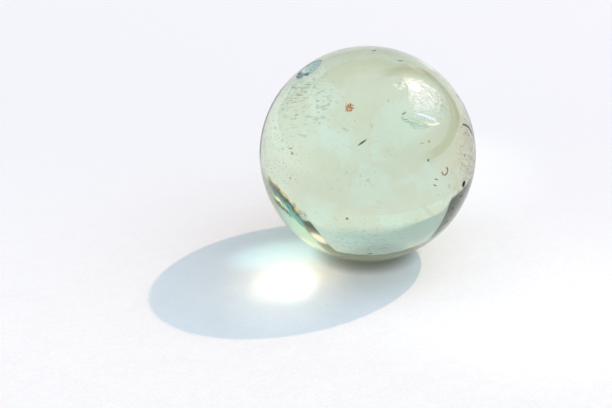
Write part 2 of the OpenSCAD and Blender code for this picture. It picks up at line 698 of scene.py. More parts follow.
# %% [markdown]
# ## Places on the glass
#
# Wear belongs to a place, and a flat picture wrapped round a ball would
# stretch at its ends. So a mask measures straight from the point on the
# glass: how far it is from a place, or how far along and across a mark's own
# frame. Turn and tilt are the same as for the shapes.

# %% Helpers that find a place
def dot_with(tree, vector, axis):
    """Millimetres along an axis."""
    node = new_node(tree, "ShaderNodeVectorMath", operation="DOT_PRODUCT")
    feed(tree, vector, node.inputs[0])
    node.inputs[1].default_value = axis / MM
    return node.outputs["Value"]


def beside(tree, vector, turn, tilt, slant=0):
    """Millimetres along and across a mark's own frame."""
    axes = mark_frame(turn, tilt, slant)
    return dot_with(tree, vector, axes[:, 0]), dot_with(tree, vector, axes[:, 1])


def closeness(tree, vector, turn, tilt, near, far):
    """One at a place on the ball, fading to nought; radii in millimetres."""
    spot = mark_frame(turn, tilt)[:, 2] * BALL_R
    node = new_node(tree, "ShaderNodeVectorMath", operation="DISTANCE")
    feed(tree, vector, node.inputs[0])
    node.inputs[1].default_value = spot
    return fade(tree, node.outputs["Value"], near * MM, far * MM, 1.0, 0.0)


def near_any(tree, vector, places, near, far):
    """Closeness to any of some places, each with a width of its own."""
    return strongest(tree, *[
        closeness(tree, vector, turn, tilt, near * wide, far * wide)
        for turn, tilt, wide in places
    ])


# %% [markdown]
# ## Node groups
#
# An effect that more than one finish uses is built once, as a node group
# with named sockets, and then placed in each material with its own values. A
# later change to the group reaches every finish that uses it.

# %% Helpers that make and place a group
def start_group(name, inputs, outputs):
    """An empty group, whose sockets are named and given a kind."""
    tree = bpy.data.node_groups.new(name, "ShaderNodeTree")
    for in_out, sockets in (("INPUT", inputs), ("OUTPUT", outputs)):
        for socket, kind in sockets.items():
            tree.interface.new_socket(
                socket, in_out=in_out, socket_type="NodeSocket" + kind
            )
    start = tree.nodes.new("NodeGroupInput").outputs
    end = tree.nodes.new("NodeGroupOutput").inputs
    return tree, start, end


def place_group(tree, group, inputs):
    node = new_node(tree, "ShaderNodeGroup", node_tree=group)
    for name, value in inputs.items():
        feed(tree, value, node.inputs[name])
    return node.outputs


# %% [markdown]
# ## The sail-shaped patch
#
# At the upper right the glass is rubbed dull in the shape of a small sail:
# round on the right and cut off straight on its left. The clear glass needs
# that outline for its roughness and its painted reflections, and the thin
# skin needs it for a painted highlight, so it is a group. It also gives the
# place to the right and up, in millimetres, as the patch faces the table's
# edge, and the distance from the sail's middle.

# %% A node group for the sail
SAIL_RIGHT, SAIL_RISE, SAIL_RADIUS = 2.75, 2.7, 3.2
SAIL_LEAN = math.radians(23)


def sail_group():
    tree, start, end = start_group(
        "sail_patch", {"Surface": "Vector"},
        {"Right": "Float", "Rise": "Float", "Ring": "Float", "Mask": "Float"},
    )
    surface = start["Surface"]
    up = np.array((0, math.sin(SAIL_LEAN), math.cos(SAIL_LEAN)))
    right = dot_with(tree, surface, np.array((1, 0, 0)))
    rise = dot_with(tree, surface, up)
    across = maths(tree, "SUBTRACT", right, SAIL_RIGHT)
    above = product(tree, maths(tree, "SUBTRACT", rise, SAIL_RISE), 1.1)
    ring = maths(tree, "SQRT", maths(
        tree, "ADD", product(tree, across, across), product(tree, above, above)))
    rough_edge = noise(tree, surface, 900, 2.0, 0.6)
    wobble = maths(tree, "MULTIPLY_ADD", rough_edge, 0.5, -0.25)
    soft_from = maths(
        tree, "ADD", maths(tree, "ADD", right, product(tree, wobble, 0.4)),
        fade(tree, rise, 4.7, 5.7, -0.05, 0.4),
    )
    mask = product(
        tree,
        fade(tree, rise, 1.3, 3.6, 0.15, 1.0),
        fade(tree, maths(tree, "ADD", ring, wobble), SAIL_RADIUS, SAIL_RADIUS - 0.3),
        fade(tree, soft_from, SAIL_RIGHT - 0.05,
             fade(tree, rise, 2.4, 4.0, SAIL_RIGHT + 1.3, SAIL_RIGHT + 0.08)),
        closeness(tree, surface, -36, 42, 3.0, 3.8),
    )
    for name, value in (
        ("Right", right), ("Rise", rise), ("Ring", ring), ("Mask", mask),
    ):
        feed(tree, value, end[name])
    return tree


SAIL_PATCH = sail_group()
print("nodes in the sail patch:", len(SAIL_PATCH.nodes))

# %% [markdown]
# ## Scuffs and hair-thin scratches
#
# Grit leaves two kinds of line: short scuffs that all run one way, and hairs
# that waver and break off. Both are noise drawn out along the line and
# squeezed across it. A scuff is where the noise is high, and a hair is where
# it crosses its middle value, broken up by a second noise. The more wear
# there is, the lower the bar. One builder makes both groups.

# %% Node groups for lines of wear
def one_way_scuffs(tree, place, amount):
    streaks = noise(tree, place, 1.0, 2.0, 0.55, 0.3)
    edge = maths(tree, "SUBTRACT", 0.8, product(tree, amount, 0.3))
    return fade(tree, streaks, edge, maths(tree, "ADD", edge, 0.035))


def hair_scratches(tree, place, amount):
    wave = noise(tree, place, 1.0, 1.0, 0.5, 0.2)
    off_line = maths(tree, "ABSOLUTE", maths(tree, "SUBTRACT", wave, 0.5))
    breaks = noise(tree, place, 2.3, 1.0, 0.5)
    edge = maths(tree, "SUBTRACT", 0.75, product(tree, amount, 0.3))
    return product(
        tree, fade(tree, off_line, 0.085, 0.035),
        fade(tree, breaks, edge, maths(tree, "ADD", edge, 0.06)),
    )


def line_group(draw):
    names = ("Along", "Across", "Length", "Width", "Amount")
    tree, start, end = start_group(
        draw.__name__, dict.fromkeys(names, "Float"), {"Mask": "Float"}
    )
    along, across, length, width, amount = [start[name] for name in names]
    place = new_node(tree, "ShaderNodeCombineXYZ")
    feed(tree, maths(tree, "DIVIDE", along, length), place.inputs[0])
    feed(tree, maths(tree, "DIVIDE", across, width), place.inputs[1])
    drawn = draw(tree, place.outputs[0], amount)
    feed(tree, product(tree, drawn, fade(tree, amount, 0.0, 0.1)), end["Mask"])
    return tree


SCUFF_LINES = line_group(one_way_scuffs)
HAIR_LINES = line_group(hair_scratches)
print("groups of lines:", SCUFF_LINES.name, HAIR_LINES.name)

# %% [markdown]
# ## Placing the lines
#
# The lines are placed in a material by their length and width and by how
# much wear there is. They follow either a frame that is given or the frame
# of a mark at a turn, tilt and slant.

# %% Helpers that place the lines
def lines(tree, group, along, across, length, width, amount):
    return place_group(tree, group, {
        "Along": along, "Across": across, "Length": length, "Width": width,
        "Amount": amount,
    })["Mask"]


def lines_at(tree, group, surface, place, length, width, amount):
    along, across = beside(tree, surface, *place)
    return lines(tree, group, along, across, length, width, amount)


# %% [markdown]
# ## Glass finish
#
# The glass is clear right through, with a little iron in it, so it is
# slightly green where light has a long way to go. That belongs to the body
# of the glass, and is made by absorption inside the ball. The surface adds
# what handling does: faint clouds of colour where the melt was uneven,
# scuffs that run mostly one way, a dulled patch where it has rubbed, and
# the stains. Painted reflections round the sail and painted shade beside
# the chip and at the rim are laid on top. It starts with where things lie.

# %% Start the glass and find its sides
glass, tree, shader, surface = new_finish("worn_glass")
stain = new_node(tree, "ShaderNodeVertexColor", layer_name="stain")
frost = stain.outputs["Alpha"]

upper_left = closeness(tree, surface, -143, 45, 1.5, 4.5)
left_side = closeness(tree, surface, -150, 80, 1.0, 6.0)
right_side = closeness(tree, surface, -14, 82, 1.5, 4.8)
film_side = closeness(tree, surface, -24, 93, 1.2, 4.8)

sail = place_group(tree, SAIL_PATCH, {"Surface": surface})
right, rise, ring, rubbed = [sail[name] for name in ("Right", "Rise", "Ring", "Mask")]
print("finish started:", glass.name)

# %% [markdown]
# ## Scratches on the left
#
# High on the left, level scratches lie in three clusters, as if the ball had
# been pushed along grit. Further down, brown hairs and dots lie in a row.
# The level ones lean ten degrees from level, so the sail's own right and up
# are turned by that much and used as their frame.

# %% Level scuffs and hairs
LEVEL_LEAN = math.radians(10)
CLUSTER_PLACES = [(-156, 42, 1.9), (-125, 44, 1.1), (-139, 38, 1.0)]
HAIR_PLACES = [
    (-152, 94.5, 1), (-145, 96.5, 1), (-138, 99, 1), (-132, 102, 1),
    (-126, 105, 1),
]

clusters = strongest(
    tree, product(tree, upper_left, 0.66),
    near_any(tree, surface, CLUSTER_PLACES, 0.3, 1.0),
)
level_scuffs = lines(
    tree, HAIR_LINES,
    maths(tree, "ADD", product(tree, right, math.cos(LEVEL_LEAN)),
          product(tree, rise, math.sin(LEVEL_LEAN))),
    maths(tree, "SUBTRACT", product(tree, rise, math.cos(LEVEL_LEAN)),
          product(tree, right, math.sin(LEVEL_LEAN))),
    1.0, 0.18, product(tree, clusters, 0.95),
)
by_hairs = near_any(tree, surface, HAIR_PLACES, 0.25, 0.65)
dots = fade(tree, noise(tree, surface, 3300, 1.0), 0.54, 0.61)
hairs = strongest(
    tree,
    lines_at(tree, HAIR_LINES, surface, (-142, 100, 75), 0.5, 0.13,
             product(tree, by_hairs, 1.3)),
    product(tree, by_hairs, dots),
)
print("clusters:", len(CLUSTER_PLACES), "hairs:", len(HAIR_PLACES))

# %% [markdown]
# ## Scuffs, specks and flecks elsewhere
#
# Each side of the ball has rolled and rubbed its own way, so each has lines
# with their own slant, length and amount. Specks and flecks are noise with a
# high bar, so that only its peaks show.

# %% Lines and specks on the other sides
left_scuffs = lines_at(
    tree, HAIR_LINES, surface, (-150, 80, 110), 0.6, 0.24,
    product(tree, left_side, 0.62),
)
right_scuffs = lines_at(
    tree, HAIR_LINES, surface, (-24, 84, 8), 0.7, 0.24,
    product(tree, right_side, 0.85),
)
rubbed_scuffs = lines_at(
    tree, SCUFF_LINES, surface, (-43, 33, 30), 0.5, 0.16,
    product(tree, rubbed, 1.2),
)
stray_scuffs = lines_at(
    tree, HAIR_LINES, surface, (-95, 70, 95), 0.6, 0.2,
    product(tree, closeness(tree, surface, -95, 68, 3.0, 5.5), 0.36),
)
frosting = lines_at(
    tree, SCUFF_LINES, surface, (*CHIP_PLACE, 20), 0.5, 0.1,
    product(tree, frost, 1.1),
)
low_scuffs = lines(
    tree, HAIR_LINES, right, rise, 0.7, 0.13,
    product(tree, closeness(tree, surface, -88, 128, 1.5, 5.5), 0.64),
)
specks = product(
    tree, fade(tree, noise(tree, surface, 4600, 1.0), 0.69, 0.72),
    fade(tree, noise(tree, surface, 450, 1.0), 0.45, 0.62), 0.7,
)
flecks = product(
    tree, fade(tree, noise(tree, surface, 2100, 1.0), 0.6, 0.66),
    closeness(tree, surface, -36, 92, 0.5, 2.0), 0.9,
)
print("nodes in the glass so far:", len(tree.nodes))

# %% [markdown]
# ## What is dirty and what is cut
#
# A scratch can hold dirt, roughen the glass or both. The marks are gathered
# into two masks, so that the colour reads one and the polish the other.

# %% Gather the wear
scratched = strongest(tree, level_scuffs, left_scuffs, right_scuffs, stray_scuffs)
dirty = strongest(
    tree, scratched, specks, flecks, product(tree, level_scuffs, 1.35),
    product(tree, right_scuffs, 1.3), low_scuffs,
)
cut = strongest(tree, scratched, frosting)

# %% [markdown]
# ## Clouds in the glass
#
# The melt was never stirred quite even, so soft blotches of aqua float in a
# straw-coloured glass. Noise alone would put them anywhere. Some chosen
# places set where most of them are, and the noise breaks them up.

# %% Aqua clouds in straw glass
CLOUD_PLACES = [
    (-108, 61, 1.6), (-104, 50, 1.0), (-89, 84, 1.5), (-72, 54, 2.2),
    (-131, 43, 1.7), (-60, 80, 1.4), (-76, 97, 1.6), (-120, 100, 1.3),
]
STRAW, AQUA = (0.86, 0.855, 0.72), (0.87, 0.965, 0.9)

cloud = noise(tree, surface, 420, 2.0, 0.5, 0.5)
frayed = maths(tree, "MULTIPLY_ADD", cloud, 5.0, -2.5)
spots = near_any(tree, surface, CLOUD_PLACES, 0.3, 1.35)
aqua = fade(tree, maths(tree, "ADD", spots, frayed), 0.1, 1.1)
clouds = blend_colours(tree, aqua, STRAW, AQUA)
print("clouds:", len(CLOUD_PLACES))

# %% [markdown]
# ## Painted reflections round the sail
#
# A brown arc round the right of the sail is a painted reflection of the
# dark horizon. The thin pale line along it and the warmer glass beyond are
# painted reflections of the bright paper. They share one distance from the
# sail's middle, so that they follow each other. Layer Weight tells how
# edge-on the glass is, and a stretch of the rim is painted pale and warm
# there, a painted reflection too.

# %% Bands of colour round the sail
PAINTED_REFLECTION_WHITE = (1.0, 0.93, 0.8)

arc_ring = maths(tree, "ADD", ring, fade(tree, rise, 4.6, 2.0, 0.0, 0.24))
# Painted reflections: a dark arc of the horizon, and a pale line and warm band of the
# paper.
painted_arc_reflection = product(
    tree, between(tree, arc_ring, 3.15, 3.5, 3.95, 4.08),
    closeness(tree, surface, -22, 50, 4.0, 6.0),
)
painted_outer_reflection = product(
    tree, fade(tree, arc_ring, 3.98, 4.12),
    closeness(tree, surface, -12, 55, 3.5, 6.0),
)
edge_on = new_node(tree, "ShaderNodeLayerWeight")
edge_on.inputs["Blend"].default_value = 0.5
facing = edge_on.outputs["Facing"]
# Painted reflection: a pale, warm stretch of the rim where the glass turns edge-on.
painted_pale_rim = product(
    tree, closeness(tree, surface, 0, 44, 2.5, 4.7), fade(tree, facing, 0.58, 0.7)
)
painted_pale_line = product(
    tree, between(tree, arc_ring, 4.0, 4.07, 4.12, 4.22),
    closeness(tree, surface, -8, 50, 2.5, 4.5), 0.7,
)
clouds = tinted(tree, painted_arc_reflection, clouds, (0.8, 0.76, 0.62))
clouds = tinted(tree, painted_outer_reflection, clouds, (1.0, 0.9, 0.82))
clouds = blend_colours(tree, painted_pale_rim, clouds, PAINTED_REFLECTION_WHITE)
clouds = blend_colours(tree, painted_pale_line, clouds, PAINTED_REFLECTION_WHITE)

# %% [markdown]
# ## Beside the chip, and the film
#
# Just beside the chip the glass is painted bluer and darker, as painted
# shade, and it is paler down the left side, except there. On the right lies
# a brown film, left by hands. The painted stains come in here too, because
# they lie on top of the clouds.

# %% Shades of the left side, stains and film
# Painted shade: bluer and darker glass just beside the chip.
painted_chip_shade = closeness(tree, surface, 179, 43, 0.5, 2.0)
pale = product(
    tree, closeness(tree, surface, -150, 68, 1.8, 5.2),
    maths(tree, "SUBTRACT", 0.9, product(tree, painted_chip_shade, 0.9)),
)
film = product(
    tree, film_side, fade(tree, noise(tree, surface, 700, 2.0, 0.6), 0.25, 0.6)
)
clouds = tinted(tree, painted_chip_shade, clouds, (0.74, 0.8, 0.82))
clouds = blend_colours(tree, pale, clouds, (1.0, 1.0, 0.88))
tint = tinted(tree, 1.0, clouds, stain.outputs["Color"])
tint = tinted(tree, film, tint, (0.93, 0.8, 0.72))
tint = blend_colours(
    tree, product(tree, dirty, 0.65), tint,
    blend_colours(tree, right_side, (0.28, 0.28, 0.21), (0.42, 0.25, 0.17)),
)
tint = blend_colours(tree, product(tree, hairs, 0.85), tint, (0.42, 0.3, 0.13))

# %% [markdown]
# ## Painted shade at the rim
#
# Seen edge-on, the rim is painted darker, as painted shade. It is brown on
# the right and at the top, and paler down the left side. The very edge has
# a painted dark line.

# %% Darken the rim and set the colour
# Painted shade: the rim darkens as the glass turns edge-on, with a painted dark line
# at the very edge.
painted_rim_shade = product(
    tree, fade(tree, facing, 0.4, 0.95),
    maths(tree, "SUBTRACT", 1.0, product(tree, painted_pale_rim, 0.5)),
)
to_left = product(tree, fade(tree, right, 0.0, -3.0), fade(tree, rise, 6.2, 4.0))
painted_rim_shade_colour = blend_colours(tree, to_left, (0.88, 0.72, 0.61), (0.95, 0.93, 0.8))
painted_edge_line = strongest(
    tree, fade(tree, facing, 0.82, 1.0),
    product(tree, fade(tree, facing, 0.79, 0.84), to_left),
)
tint = tinted(tree, painted_rim_shade, tint, painted_rim_shade_colour)
tint = tinted(tree, painted_edge_line, tint, (0.6, 0.5, 0.44))
feed(tree, tint, shader.inputs["Base Color"])
print("nodes in the glass:", len(tree.nodes))

# %% [markdown]
# ## Polish
#
# Polished glass mirrors sharply, and worn glass scatters. Roughness rises
# with the rubbed patch, the scratches, the crushed scars and two dull
# stretches of the rim. The scratches are also a very low relief, because
# they are cut into the skin.

# %% Roughness and relief of the glass
grain = noise(tree, surface, 2600, 3.0, 0.7)
haze = strongest(
    tree, product(tree, rubbed, 0.24), product(tree, rubbed_scuffs, rubbed, 0.48)
)
crushed = product(tree, frost, fade(tree, grain, 0.35, 0.6, 0.25, 0.8))
dull_rim = strongest(
    tree,
    product(tree, fade(tree, facing, 0.8, 0.87), to_left,
            fade(tree, rise, -1.2, 0.2), 0.3),
    product(tree, fade(tree, facing, 0.83, 0.9), fade(tree, right, 5.5, 7.0),
            between(tree, rise, -4.0, -2.0, 3.5, 5.5), 0.22),
)
roughness = maths(
    tree, "ADD", haze,
    strongest(tree, product(tree, cut, 0.3), crushed, dull_rim),
)
feed(tree, roughness, shader.inputs["Roughness"])
relief(tree, shader, maths(tree, "SUBTRACT", 1.0, cut), 0.01 * MM)

# %% [markdown]
# ## Body of the glass
#
# Window and bottle glass has a refractive index of about 1.52. The green of
# its iron grows with the way that light has to go, which a surface colour
# can't do, so it is an absorption in the volume.

# %% Make the glass clear and put it on the ball
shader.inputs["IOR"].default_value = 1.52
shader.inputs["Transmission Weight"].default_value = 1.0

body = new_node(tree, "ShaderNodeVolumeAbsorption")
body.inputs["Color"].default_value = (0.1, 0.56, 0.12, 1)
body.inputs["Density"].default_value = 18.0
tree.links.new(body.outputs[0], tree.nodes["Material Output"].inputs["Volume"])

ball.data.materials.append(glass)
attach(ball, "root")
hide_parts("marble")
print("glass put on:", ball.name)

# %% [markdown]
# ## Crushed glass and painted highlights
#
# Where a flake has come away the new surface isn't clear everywhere. Along
# the splinter lines the glass is crushed to a white powder that clings to
# the scar. It could be whiteness in the glass itself, but a clear shader
# can't also be a powder. So it is a very thin skin: the faces of the chip,
# the moon and the sail are copied from the ball, lifted and thickened by
# thousandths of a millimetre. The same skin carries painted highlights on
# the sail, on a spot beside it and along the moon, and painted reflections
# in the chip. The skin's alpha then leaves only streaks.

# %% Skin over the scars and the painted highlights
SUNK_ENOUGH = 0.02
SKIN_LIFT, SKIN_THICKNESS = 0.002 * MM, 0.003 * MM
# Places of painted highlight: the sail and a painted sparkle beside it.
PAINTED_HIGHLIGHT_PATCHES = [(-36, 42, 3.9), (-58, 30.5, 0.7)]

only(ball)
bpy.ops.object.duplicate()
skin = bpy.context.object
skin.name = "powder_and_painted_highlights"
skin.data.name = "powder_and_painted_highlights"
middles = face_directions(skin.data)
bare = np.ones(len(middles), dtype=bool)
for scar in (CHIP_MARK, MOON_MARK):
    near = near_mark(middles, scar)
    sunk = scar["form"](in_frame(middles[near], scar["axes"])) > SUNK_ENOUGH
    bare[np.flatnonzero(near)[sunk]] = False
for turn, tilt, wide in PAINTED_HIGHLIGHT_PATCHES:
    centre = mark_frame(turn, tilt)[:, 2]
    bare[middles @ centre > math.cos(wide / BALL_MM)] = False
edit_faces(skin, bare)
bpy.ops.mesh.delete(type="FACE")
bpy.ops.object.mode_set(mode="OBJECT")
lift = skin.modifiers.new("lift", "DISPLACE")
lift.mid_level = 0
lift.strength = SKIN_LIFT
bpy.ops.object.modifier_apply(modifier=lift.name)
thicken = skin.modifiers.new("thicken", "SOLIDIFY")
thicken.thickness = SKIN_THICKNESS
thicken.offset = 1
bpy.ops.object.modifier_apply(modifier=thicken.name)
print("faces in the skin:", len(skin.data.polygons))

# %% [markdown]
# ## Powder on the chip and the moon
#
# In the chip the powder lies in streaks along the splinters and is thickest
# at the deep end. On the moon a thin white arch along the lifted edge of the
# flake is a painted highlight, and a few streaks of powder lie to its right.

# %% Streaks on the chip and the moon
powder, tree, shader, surface = new_finish("powder_and_painted_highlights")
frost = new_node(
    tree, "ShaderNodeVertexColor", layer_name="stain").outputs["Alpha"]

on_chip = closeness(tree, surface, *CHIP_PLACE, 1.6, 1.8)
deep_end = closeness(tree, surface, 180, 38, 0.5, 1.2)
thin_end = closeness(tree, surface, 168, 29, 0.5, 1.5)
chip_streaks = lines_at(
    tree, SCUFF_LINES, surface, (*CHIP_PLACE, 60), 0.7, 0.13, 1.15
)
on_moon = closeness(tree, surface, *MOON_PLACE[:2], 1.8, 2.0)
moon_x, moon_y = beside(tree, surface, *MOON_PLACE)
moon_arch = maths(tree, "SUBTRACT", moon_y, maths(
    tree, "MULTIPLY_ADD", product(tree, moon_x, moon_x), -0.17, 0.3))
# Painted highlight: a thin white arch along the moon's lifted edge.
painted_moon_highlight = product(
    tree, between(tree, moon_arch, -0.16, -0.03, 0.05, 0.14),
    between(tree, moon_x, -0.9, -0.3, 0.9, 1.4),
)
moon_streaks = product(
    tree, lines_at(tree, SCUFF_LINES, surface, MOON_PLACE, 0.9, 0.09, 0.95),
    fade(tree, moon_x, 0.0, 0.9), fade(tree, frost, 0.02, 0.12), 0.4,
)
print("nodes in the powder so far:", len(tree.nodes))

# %% [markdown]
# ## Painted highlight on the sail
#
# The sail's skin is a painted highlight of the sun on scratched glass. It
# is crumpled like foil: fine folds, and broken arcs that run round its
# middle like lace. The white thins where a twisted noise crosses its middle
# value, and that draws the folds. The arcs are noise on two new directions,
# outwards and round.
# At the heart is a solid white core, the painted glint of the sun, with a
# painted sparkle above it to the left.

# %% Painted highlight on the sail
sail = place_group(tree, SAIL_PATCH, {"Surface": surface})
right, rise, ring = sail["Right"], sail["Rise"], sail["Ring"]

# Painted highlight: white folds and lace where scratches catch the sun.
crumple = noise(tree, surface, 1700, 3.0, 0.6, 2.2)
crumple_middle = maths(tree, "SUBTRACT", crumple, 0.5)
painted_highlight_folds = fade(
    tree, maths(tree, "ABSOLUTE", crumple_middle), 0.015, 0.13, 0.05, 0.6
)
round_middle = maths(
    tree, "ARCTAN2", maths(tree, "SUBTRACT", rise, SAIL_RISE),
    maths(tree, "SUBTRACT", right, SAIL_RIGHT),
)
arcs = new_node(tree, "ShaderNodeCombineXYZ")
feed(tree, maths(tree, "DIVIDE", ring, 0.16), arcs.inputs[0])
feed(tree, product(tree, round_middle, 3.2), arcs.inputs[1])
lace = fade(tree, noise(tree, arcs.outputs[0], 1.0, 3.0, 0.6, 0.6), 0.52, 0.66)
painted_highlight_folds = strongest(tree, painted_highlight_folds, product(tree, lace, 0.95))
# Painted highlight: the sun's glint as a white core, and a painted sparkle.
painted_highlight_core = product(
    tree, fade(
        tree, maths(tree, "ADD", closeness(tree, surface, -43, 34.5, 0.1, 1.1),
                    product(tree, crumple_middle, 0.9)),
        0.52, 0.8),
    fade(tree, right, SAIL_RIGHT - 0.05, SAIL_RIGHT + 0.05),
)
painted_sparkle = product(
    tree, closeness(tree, surface, -58, 30.5, 0.2, 0.6),
    fade(tree, noise(tree, surface, 3800, 2.0, 0.6), 0.48, 0.56),
)

# %% [markdown]
# ## Where the powder shows
#
# The powder and the painted highlights of all three places are gathered
# into one mask, which becomes the alpha: nought leaves the clear glass below
# to be seen. The sail's painted folds stop short of the moon, and grow thin
# away from the core and towards the bottom.

# %% Gather the powder into the alpha
off_moon = maths(tree, "SUBTRACT", 1.0, product(
    tree, fade(tree, frost, 0.0, 0.1), on_moon))
near_core = closeness(tree, surface, -43, 36, 0.3, 3.4)
chip_cover = product(
    tree, on_chip, fade(tree, frost, 0.05, 0.4),
    fade(tree, thin_end, 0, 1, 1.0, 0.85),
    strongest(tree, product(tree, deep_end, 0.85),
              fade(tree, chip_streaks, 0, 1, 0.7, 0.9)),
)
# Painted highlight on the sail, thinning away from the core.
painted_highlight_cover = product(
    tree, sail["Mask"], painted_highlight_folds, off_moon, fade(tree, near_core, 0, 1, 0.2, 1.1),
    fade(tree, rise, 2.2, 4.0, 0.3, 1.0),
)
cover = strongest(
    tree, chip_cover,
    product(tree, on_moon, strongest(tree, painted_moon_highlight, moon_streaks)),
    painted_highlight_cover, product(tree, painted_highlight_core, 0.95), product(tree, painted_sparkle, 0.95),
)
feed(tree, cover, shader.inputs["Alpha"])

# %% [markdown]
# ## Colour of the powder
#
# Powdered glass is nearly white. In the chip its colour is a painted
# reflection of the sky in patches, from dark slate, darkest at the deep
# end, to pale blue-green, with painted white glints. The shader is plain
# and fairly rough: a powder has no clear mirror.

# %% Set the powder's colour and put it on the skin
POWDER_WHITE = (0.97, 0.98, 0.93)

# Painted reflection of the sky in the chip, with painted glints.
patchy = maths(
    tree, "ADD", noise(tree, surface, 3100, 3.0, 0.65),
    maths(tree, "ADD", product(tree, deep_end, -0.15),
          product(tree, closeness(tree, surface, 166, 29, 0.6, 1.9), 0.3)),
)
painted_glints = fade(tree, noise(tree, surface, 4100, 1.0), 0.57, 0.63)
painted_chip_reflection = blend_colours(
    tree, fade(tree, patchy, 0.34, 0.6), (0.13, 0.24, 0.25), (0.74, 0.92, 0.82)
)
painted_chip_reflection = blend_colours(tree, painted_glints, painted_chip_reflection, POWDER_WHITE)
feed(tree, blend_colours(tree, on_chip, POWDER_WHITE, painted_chip_reflection),
     shader.inputs["Base Color"])
shader.inputs["Roughness"].default_value = 0.5
skin.data.materials.clear()
skin.data.materials.append(powder)
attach(skin, "root")
print("nodes in the powder:", len(tree.nodes))

# %% [markdown]
# ## The rust fleck
#
# A few grains of rusty grit are stuck in the pit at the upper front. Each
# grain is an icosphere knocked out of shape, flattened and set in the pit,
# and the grains are joined into one crumb. A painted spot would have no
# shadow and no ragged edge.

# %% Grains in the pit
GRAIN_FLATNESS = 0.55
GRAINS = [
    (-0.2, -0.12, 0.085), (-0.06, -0.2, 0.07), (0.1, -0.14, 0.09),
    (-0.24, 0.06, 0.075), (-0.08, 0.02, 0.1), (0.12, 0.08, 0.08),
    (0.24, -0.04, 0.06), (-0.02, 0.2, 0.085), (0.18, 0.22, 0.055),
    (-0.22, 0.26, 0.05), (0.28, 0.12, 0.045), (-0.35, 0.02, 0.035),
    (0.0, 0.37, 0.04), (0.3, -0.22, 0.03), (-0.3, -0.24, 0.03),
]
pit_axes = Matrix(RUST_PIT["axes"].tolist()).to_4x4()
flattened = Matrix.Diagonal((1, 1, GRAIN_FLATNESS, 1))
grains = []
for number, (x, y, size) in enumerate(GRAINS):
    bpy.ops.object.select_all(action="DESELECT")
    bpy.ops.mesh.primitive_ico_sphere_add(subdivisions=3, radius=size * MM)
    piece = bpy.context.object
    bpy.ops.object.mode_set(mode="EDIT")
    bpy.ops.transform.vertex_random(offset=size * 0.5 * MM, seed=number + 1)
    bpy.ops.mesh.vertices_smooth(factor=0.4)
    bpy.ops.object.mode_set(mode="OBJECT")
    sunk = RUST_PIT["form"](np.array([(x, y, BALL_MM)]))[0]
    z = math.sqrt(BALL_MM**2 - x * x - y * y) - sunk + size * 0.2
    spot = pit_axes @ Vector((x * MM, y * MM, z * MM))
    piece.matrix_world = Matrix.Translation(spot) @ pit_axes @ flattened
    bpy.ops.object.transform_apply(location=True, rotation=True, scale=True)
    grains.append(piece)
print("grains:", len(grains))

# %% [markdown]
# ## One crumb of rust
#
# The grains cling together, so they are joined into one piece. Shading is
# smooth where the facets are nearly level and sharp elsewhere, which reads
# as broken grit. Rust is never one colour: two steps of the same noise take
# it from dark brown through orange to pale ochre. It is dull all over.

# %% Join the grains and rust them
bpy.ops.object.select_all(action="DESELECT")
for piece in grains:
    piece.select_set(True)
bpy.context.view_layer.objects.active = grains[0]
bpy.ops.object.join()
crumb = bpy.context.object
crumb.name = "rust_fleck"
only(crumb)
bpy.ops.object.shade_smooth_by_angle(angle=math.radians(40))

rust, tree, shader, surface = new_finish("rust")
mottle = noise(tree, surface, 5200, 3.0, 0.6)
rusty = blend_colours(
    tree, fade(tree, mottle, 0.35, 0.5), (0.09, 0.03, 0.015), (0.66, 0.24, 0.08)
)
rusty = blend_colours(tree, fade(tree, mottle, 0.52, 0.66), rusty, (0.9, 0.5, 0.26))
feed(tree, rusty, shader.inputs["Base Color"])
shader.inputs["Roughness"].default_value = 0.85
crumb.data.materials.append(rust)
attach(crumb, "root")
print("faces in the crumb:", len(crumb.data.polygons))

# %% [markdown]
# ## Paper
#
# The marble lies on a sheet of white drawing paper. It is one large plane,
# because clear glass shows a long stretch of it upside down. Real paper has
# grain, fibres and slow mottling, so three sizes of noise are added up. It
# gets a little cooler and darker further away.

# %% Lay the paper and colour it
bpy.ops.object.select_all(action="DESELECT")
bpy.ops.mesh.primitive_plane_add(size=4, location=(0, 0, -BALL_R))
paper = bpy.context.object
paper.name = "paper"
sheet, tree, shader, surface = new_finish("white_paper")
grain = noise(tree, surface, 5200, 3.0, 0.6)
mottle = noise(tree, surface, 420, 2.0, 0.5)
fibres = noise(tree, surface, 1500, 2.0, 0.6, 1.0)
shade = maths(
    tree, "ADD", fade(tree, grain, 0.38, 0.62, 0.0, 0.5),
    maths(tree, "ADD", fade(tree, fibres, 0.38, 0.62, 0.0, 0.3),
          fade(tree, mottle, 0.3, 0.7, 0.0, 0.2)),
)
colour = blend_colours(tree, shade, (0.908, 0.903, 0.933), (0.975, 0.97, 0.99))
sides = new_node(tree, "ShaderNodeSeparateXYZ")
feed(tree, surface, sides.inputs[0])
paper_x, paper_y = sides.outputs[0], sides.outputs[1]
colour = blend_colours(
    tree, fade(tree, paper_y, -0.02, 0.03), colour, (0.875, 0.88, 0.93)
)
print("nodes in the paper so far:", len(tree.nodes))

# %% [markdown]
# ## Shade under the ball
#
# Close to where the ball touches, little light gets under it, and the render
# alone comes out too light there. An Ambient Occlusion node finds the
# crowded stretch and dims it. The dimming is lifted right at the point of
# contact, which is seen only through the ball and would darken it from above.

